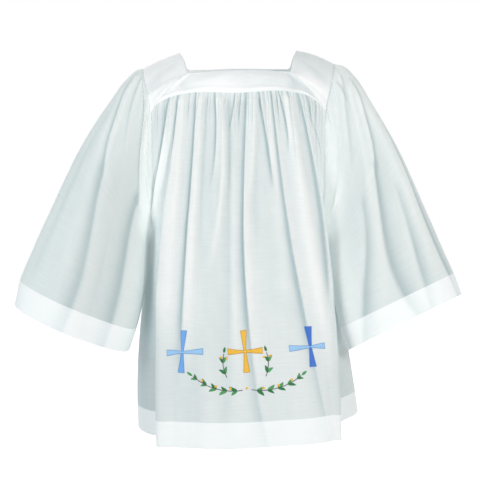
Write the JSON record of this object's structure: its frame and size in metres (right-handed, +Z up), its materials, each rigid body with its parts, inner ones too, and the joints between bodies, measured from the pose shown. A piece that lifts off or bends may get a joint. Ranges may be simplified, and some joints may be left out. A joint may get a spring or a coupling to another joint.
{
  "type": "surplice",
  "caption": "White clerical surplice with a square yoke neck, gathered front and back, wide bell sleeves and turned-up hems, kept hollow in the shape of a standing wearer.",
  "frame": {"origin": "middle of the neck opening, between the two places where the shoulder line meets the neck edge, on the wearer's shoulders", "axes": "+Z up, front faces -Y, +X to the right as seen from the front"},
  "size_m": [1.0519, 0.4221, 0.9388],
  "materials": {
    "cloth": "fine matt white batiste",
    "hem": "the same batiste, doubled, so less see-through"
  },
  "bodies": {
    "root": {"yoke_front": "cloth", "yoke_back": "cloth", "body_front": "cloth", "body_back": "cloth", "hem_front": "hem", "hem_back": "hem", "sleeve_left": "cloth", "sleeve_right": "cloth", "cuff_left": "hem", "cuff_right": "hem"}
  },
  "joints": []
}
